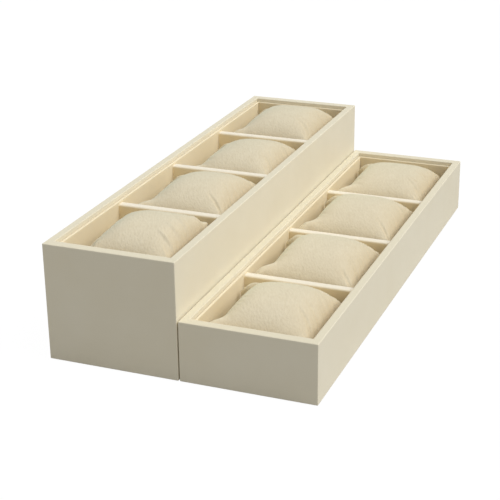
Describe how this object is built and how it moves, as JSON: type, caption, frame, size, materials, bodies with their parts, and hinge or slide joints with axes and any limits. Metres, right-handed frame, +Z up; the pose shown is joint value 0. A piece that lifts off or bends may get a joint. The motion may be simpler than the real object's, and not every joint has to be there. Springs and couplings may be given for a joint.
{
  "type": "two-level jewelry display tray",
  "caption": "Stepped display tray of a tall and a low open box in cream leatherette, each divided into compartments that hold stuffed velvet pillows for watches or bangles.",
  "frame": {"origin": "middle of the whole tray in plan, on the surface that it stands on", "axes": "+X along the boxes to the right as seen from the front, +Y from the low box in front to the tall box behind, +Z up"},
  "size_m": [0.4, 0.201, 0.0955],
  "materials": {
    "leatherette": "smooth satin cream leatherette over board",
    "lining": "smooth matt cream leatherette over card",
    "pillow_velvet": "short napped beige velvet over a soft filling",
    "board": "plain fibreboard",
    "felt": "thin pressed felt"
  },
  "bodies": {
    "root": {"low_wall_front": "leatherette", "low_wall_back": "leatherette", "low_wall_left": "leatherette", "low_wall_right": "leatherette", "low_base_board": "board", "low_underside_felt": "felt", "low_liner_front": "lining", "low_liner_back": "lining", "low_liner_left": "lining", "low_liner_right": "lining", "low_floor_pad": "lining", "low_divider_1": "lining", "low_divider_2": "lining", "low_divider_3": "lining", "low_pillow_1": "pillow_velvet", "low_pillow_2": "pillow_velvet", "low_pillow_3": "pillow_velvet", "low_pillow_4": "pillow_velvet", "tall_wall_front": "leatherette", "tall_wall_back": "leatherette", "tall_wall_left": "leatherette", "tall_wall_right": "leatherette", "tall_base_board": "board", "tall_underside_felt": "felt", "tall_deck_board": "board", "tall_batten_left": "board", "tall_batten_middle": "board", "tall_batten_right": "board", "tall_liner_front": "lining", "tall_liner_back": "lining", "tall_liner_left": "lining", "tall_liner_right": "lining", "tall_floor_pad": "lining", "tall_divider_1": "lining", "tall_divider_2": "lining", "tall_divider_3": "lining", "tall_pillow_1": "pillow_velvet", "tall_pillow_2": "pillow_velvet", "tall_pillow_3": "pillow_velvet", "tall_pillow_4": "pillow_velvet"}
  },
  "joints": []
}
